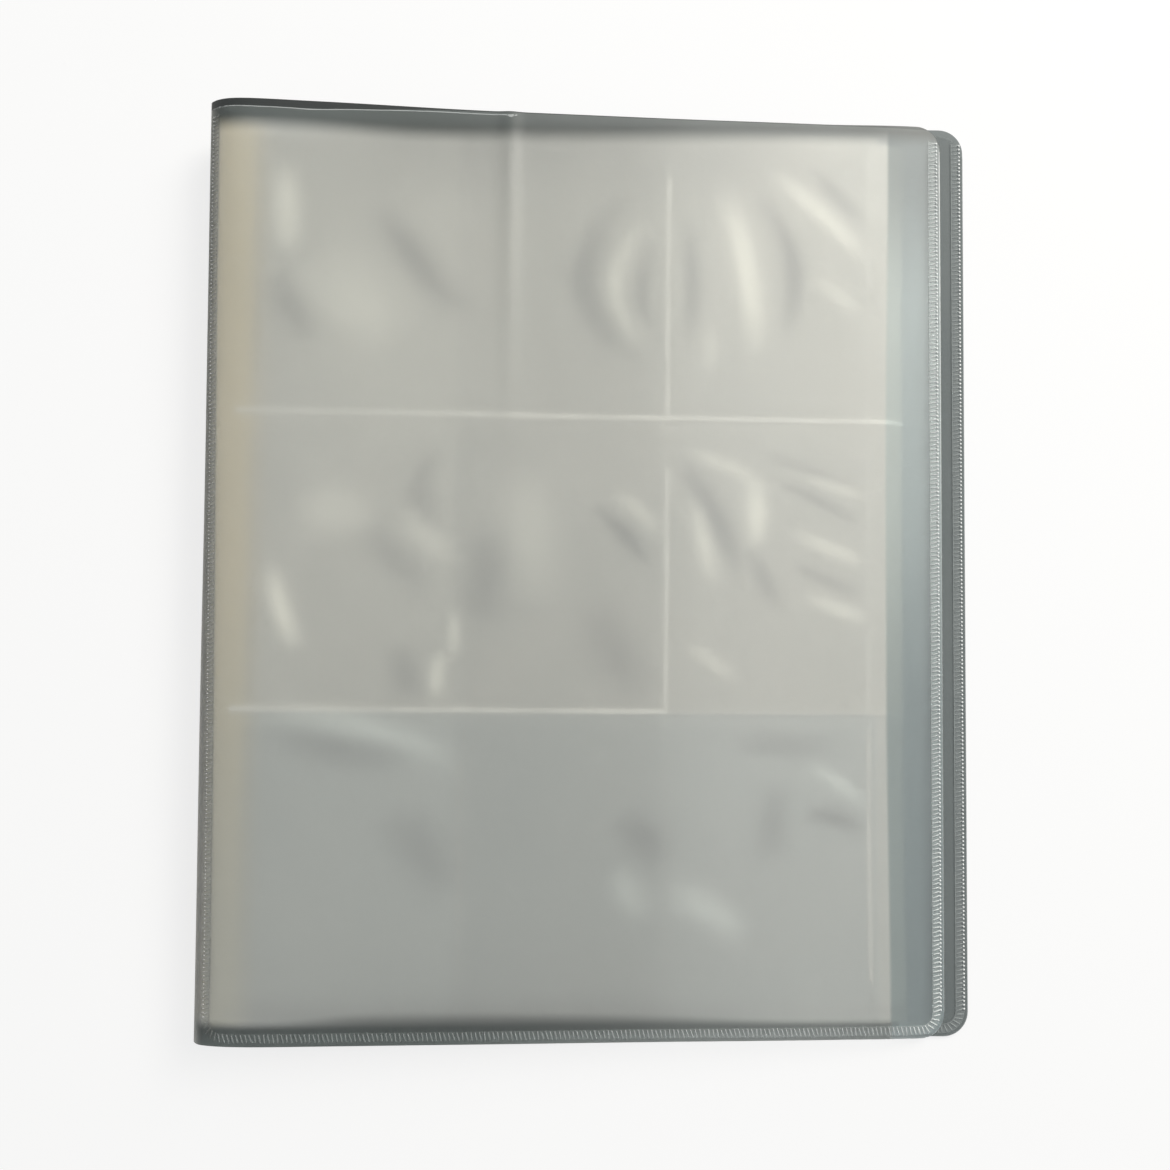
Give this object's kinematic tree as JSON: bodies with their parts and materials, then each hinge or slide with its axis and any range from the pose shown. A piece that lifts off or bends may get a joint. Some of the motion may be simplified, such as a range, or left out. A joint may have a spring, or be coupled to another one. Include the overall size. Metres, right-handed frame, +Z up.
{
  "type": "trading card album",
  "caption": "Soft-cover card album with frosted welded sleeve covers on a folding spine and bound leaves of clear film pockets.",
  "frame": {"origin": "centre of the closed album on the plane it lies on", "axes": "+X from the spine to the fore-edge, +Y to the head of the pages, +Z up out of the front cover"},
  "size_m": [0.2458, 0.298, 0.0199],
  "materials": {
    "cover_sheet": "soft frosted translucent blue-grey plastic sheet",
    "cover_liner": "soft frosted translucent blue-grey plastic sheet",
    "cover_weld": "fused plastic, pressed in fine cross bars",
    "binding": "tan plastic strip",
    "leaf_film": "thin clear whitish film",
    "pocket_film": "thin clear film, lightly crinkled",
    "heat_seal": "fused film"
  },
  "bodies": {
    "back_cover": {"back_cover_sheet": "cover_sheet", "back_cover_weld": "cover_weld", "back_cover_liner": "cover_liner"},
    "spine": {"spine_sheet": "cover_sheet", "binding_strip": "binding"},
    "front_cover": {"front_cover_sheet": "cover_sheet", "front_cover_weld": "cover_weld", "front_cover_liner": "cover_liner"},
    "leaf_01": {"leaf_01_backing": "leaf_film", "leaf_01_pockets": "pocket_film", "leaf_01_seals": "heat_seal"},
    "leaf_02": {"leaf_02_backing": "leaf_film", "leaf_02_pockets": "pocket_film", "leaf_02_seals": "heat_seal"},
    "leaf_03": {"leaf_03_backing": "leaf_film", "leaf_03_pockets": "pocket_film", "leaf_03_seals": "heat_seal"},
    "leaf_04": {"leaf_04_backing": "leaf_film", "leaf_04_pockets": "pocket_film", "leaf_04_seals": "heat_seal"},
    "leaf_05": {"leaf_05_backing": "leaf_film", "leaf_05_pockets": "pocket_film", "leaf_05_seals": "heat_seal"},
    "leaf_06": {"leaf_06_backing": "leaf_film", "leaf_06_pockets": "pocket_film", "leaf_06_seals": "heat_seal"},
    "leaf_07": {"leaf_07_backing": "leaf_film", "leaf_07_pockets": "pocket_film", "leaf_07_seals": "heat_seal"},
    "leaf_08": {"leaf_08_backing": "leaf_film", "leaf_08_pockets": "pocket_film", "leaf_08_seals": "heat_seal"},
    "leaf_09": {"leaf_09_backing": "leaf_film", "leaf_09_pockets": "pocket_film", "leaf_09_seals": "heat_seal"},
    "leaf_10": {"leaf_10_backing": "leaf_film", "leaf_10_pockets": "pocket_film", "leaf_10_seals": "heat_seal"},
    "leaf_11": {"leaf_11_backing": "leaf_film", "leaf_11_pockets": "pocket_film", "leaf_11_seals": "heat_seal"},
    "leaf_12": {"leaf_12_backing": "leaf_film", "leaf_12_pockets": "pocket_film", "leaf_12_seals": "heat_seal"},
    "leaf_13": {"leaf_13_backing": "leaf_film", "leaf_13_pockets": "pocket_film", "leaf_13_seals": "heat_seal"},
    "leaf_14": {"leaf_14_backing": "leaf_film", "leaf_14_pockets": "pocket_film", "leaf_14_seals": "heat_seal"},
    "leaf_15": {"leaf_15_backing": "leaf_film", "leaf_15_pockets": "pocket_film", "leaf_15_seals": "heat_seal"},
    "leaf_16": {"leaf_16_backing": "leaf_film", "leaf_16_pockets": "pocket_film", "leaf_16_seals": "heat_seal"}
  },
  "joints": [
    {"name": "back_fold", "type": "hinge", "parent": "back_cover", "child": "spine", "pos_m": [-0.11505, 0, 0.00017], "axis": [0, -1, 0], "range_deg": [0, 63]},
    {"name": "front_fold", "type": "hinge", "parent": "spine", "child": "front_cover", "pos_m": [-0.12277, 0, 0.01532], "axis": [0, -1, 0], "range_deg": [0, 119.79]},
    {"name": "leaf_01_turn", "type": "hinge", "parent": "spine", "child": "leaf_01", "pos_m": [-0.12112, 0, 0.01437], "axis": [0, -1, 0], "range_deg": [0, 111.77]},
    {"name": "leaf_02_turn", "type": "hinge", "parent": "spine", "child": "leaf_02", "pos_m": [-0.12071, 0, 0.01355], "axis": [0, -1, 0], "range_deg": [0, 110.41]},
    {"name": "leaf_03_turn", "type": "hinge", "parent": "spine", "child": "leaf_03", "pos_m": [-0.12029, 0, 0.01273], "axis": [0, -1, 0], "range_deg": [0, 109.05]},
    {"name": "leaf_04_turn", "type": "hinge", "parent": "spine", "child": "leaf_04", "pos_m": [-0.11987, 0, 0.01191], "axis": [0, -1, 0], "range_deg": [0, 107.68]},
    {"name": "leaf_05_turn", "type": "hinge", "parent": "spine", "child": "leaf_05", "pos_m": [-0.11945, 0, 0.01109], "axis": [0, -1, 0], "range_deg": [0, 106.32]},
    {"name": "leaf_06_turn", "type": "hinge", "parent": "spine", "child": "leaf_06", "pos_m": [-0.11903, 0, 0.01027], "axis": [0, -1, 0], "range_deg": [0, 104.95]},
    {"name": "leaf_07_turn", "type": "hinge", "parent": "spine", "child": "leaf_07", "pos_m": [-0.11862, 0, 0.00945], "axis": [0, -1, 0], "range_deg": [0, 103.59]},
    {"name": "leaf_08_turn", "type": "hinge", "parent": "spine", "child": "leaf_08", "pos_m": [-0.1182, 0, 0.00863], "axis": [0, -1, 0], "range_deg": [0, 102.23]},
    {"name": "leaf_09_turn", "type": "hinge", "parent": "spine", "child": "leaf_09", "pos_m": [-0.11778, 0, 0.00781], "axis": [0, -1, 0], "range_deg": [-45.14, 0]},
    {"name": "leaf_10_turn", "type": "hinge", "parent": "spine", "child": "leaf_10", "pos_m": [-0.11736, 0, 0.00699], "axis": [0, -1, 0], "range_deg": [-46.5, 0]},
    {"name": "leaf_11_turn", "type": "hinge", "parent": "spine", "child": "leaf_11", "pos_m": [-0.11695, 0, 0.00617], "axis": [0, -1, 0], "range_deg": [-47.87, 0]},
    {"name": "leaf_12_turn", "type": "hinge", "parent": "spine", "child": "leaf_12", "pos_m": [-0.11653, 0, 0.00535], "axis": [0, -1, 0], "range_deg": [-49.23, 0]},
    {"name": "leaf_13_turn", "type": "hinge", "parent": "spine", "child": "leaf_13", "pos_m": [-0.11611, 0, 0.00453], "axis": [0, -1, 0], "range_deg": [-50.59, 0]},
    {"name": "leaf_14_turn", "type": "hinge", "parent": "spine", "child": "leaf_14", "pos_m": [-0.11569, 0, 0.00371], "axis": [0, -1, 0], "range_deg": [-51.96, 0]},
    {"name": "leaf_15_turn", "type": "hinge", "parent": "spine", "child": "leaf_15", "pos_m": [-0.11528, 0, 0.00289], "axis": [0, -1, 0], "range_deg": [-53.32, 0]},
    {"name": "leaf_16_turn", "type": "hinge", "parent": "spine", "child": "leaf_16", "pos_m": [-0.11486, 0, 0.00207], "axis": [0, -1, 0], "range_deg": [-54.68, 0]}
  ],
  "couplings": [
    {"joint": "leaf_01_turn", "follows": "front_fold", "ratio": 0.93304},
    {"joint": "leaf_02_turn", "follows": "front_fold", "ratio": 0.92165},
    {"joint": "leaf_03_turn", "follows": "front_fold", "ratio": 0.91027},
    {"joint": "leaf_04_turn", "follows": "front_fold", "ratio": 0.89889},
    {"joint": "leaf_05_turn", "follows": "front_fold", "ratio": 0.8875},
    {"joint": "leaf_06_turn", "follows": "front_fold", "ratio": 0.87612},
    {"joint": "leaf_07_turn", "follows": "front_fold", "ratio": 0.86473},
    {"joint": "leaf_08_turn", "follows": "front_fold", "ratio": 0.85335},
    {"joint": "leaf_09_turn", "follows": "back_fold", "ratio": -0.71647},
    {"joint": "leaf_10_turn", "follows": "back_fold", "ratio": -0.73811},
    {"joint": "leaf_11_turn", "follows": "back_fold", "ratio": -0.75976},
    {"joint": "leaf_12_turn", "follows": "back_fold", "ratio": -0.7814},
    {"joint": "leaf_13_turn", "follows": "back_fold", "ratio": -0.80305},
    {"joint": "leaf_14_turn", "follows": "back_fold", "ratio": -0.82469},
    {"joint": "leaf_15_turn", "follows": "back_fold", "ratio": -0.84634},
    {"joint": "leaf_16_turn", "follows": "back_fold", "ratio": -0.86798}
  ]
}
